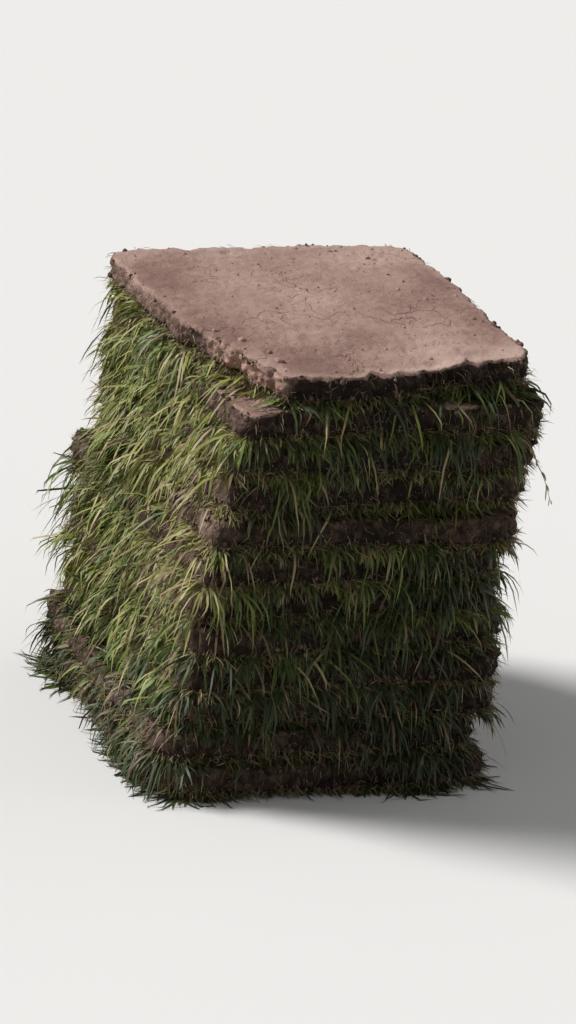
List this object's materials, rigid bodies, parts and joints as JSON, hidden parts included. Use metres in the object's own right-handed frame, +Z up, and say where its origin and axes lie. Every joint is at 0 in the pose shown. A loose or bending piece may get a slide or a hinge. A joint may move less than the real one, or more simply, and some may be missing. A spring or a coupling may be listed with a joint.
{
  "type": "stack of turf slabs",
  "caption": "Hand-laid stack of square cut turf slabs, grass side down, with rooted soil mats over pressed grass.",
  "frame": {"origin": "on the ground under the middle of the stack, on the underside of the lowest slab", "axes": "+Z up through the stack, -Y towards the front of the slabs, +X to the right seen from the front"},
  "size_m": [0.2259, 0.228, 0.2756],
  "materials": {
    "soil": "matte",
    "grass": "matte"
  },
  "bodies": {
    "root": {"turf_slab_01": "soil", "turf_slab_02": "soil", "turf_slab_03": "soil", "turf_slab_04": "soil", "turf_slab_05": "soil", "turf_slab_06": "soil", "turf_slab_07": "soil", "turf_slab_08": "soil", "turf_slab_09": "soil", "turf_slab_10": "soil", "turf_slab_11": "soil", "turf_slab_12": "soil"}
  },
  "joints": []
}
